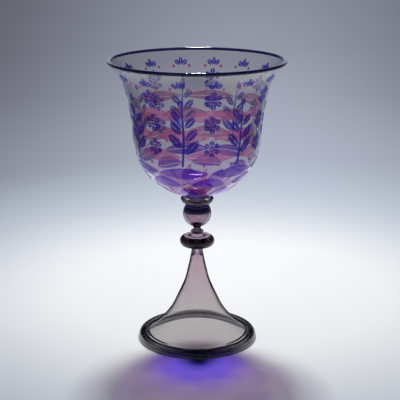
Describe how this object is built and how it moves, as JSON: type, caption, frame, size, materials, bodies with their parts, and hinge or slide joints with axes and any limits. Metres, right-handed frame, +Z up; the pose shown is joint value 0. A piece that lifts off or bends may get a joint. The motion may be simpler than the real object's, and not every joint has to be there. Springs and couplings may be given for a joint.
{
  "type": "glass goblet",
  "caption": "Tall blown glass goblet with a flared bell bowl, an overlay leaf design, a knopped stem and a hollow trumpet foot with a rolled rim.",
  "frame": {"origin": "centre of the foot's underside, on the table", "axes": "+Z up along the goblet's axis of revolution"},
  "size_m": [0.1522, 0.1522, 0.25],
  "materials": {
    "bowl_glass": "clear blown glass with a lavender cast, polished",
    "lip_glass": "dark blue-grey glass thread, fire polished",
    "violet_overlay": "blue-violet overlay glass, cut back and polished",
    "rose_overlay": "rose overlay glass, cut back and polished",
    "pad_glass": "reddish violet glass, fire polished",
    "neck_glass": "near-black violet glass, fire polished",
    "clear_glass": "clear glass, fire polished",
    "stem_glass": "smoky mauve glass, fire polished",
    "foot_glass": "smoky grey glass that turns mauve towards the top, blown"
  },
  "bodies": {
    "root": {"bowl_wall": "bowl_glass", "lip_wrap": "lip_glass", "violet_fronds": "violet_overlay", "violet_blossoms": "violet_overlay", "violet_sprigs": "violet_overlay", "violet_waves": "violet_overlay", "violet_calyx": "violet_overlay", "rose_clouds": "rose_overlay", "rose_calyx": "rose_overlay", "rose_dots": "rose_overlay", "bowl_base_pad": "pad_glass", "neck_flange": "neck_glass", "saucer_merese": "clear_glass", "ball_knop": "stem_glass", "neck_spool": "stem_glass", "neck_bead": "clear_glass", "disc_collar": "stem_glass", "disc_knop": "stem_glass", "foot_plug": "stem_glass", "trumpet_foot": "foot_glass", "foot_roll": "foot_glass", "foot_base_lip": "foot_glass"}
  },
  "joints": []
}
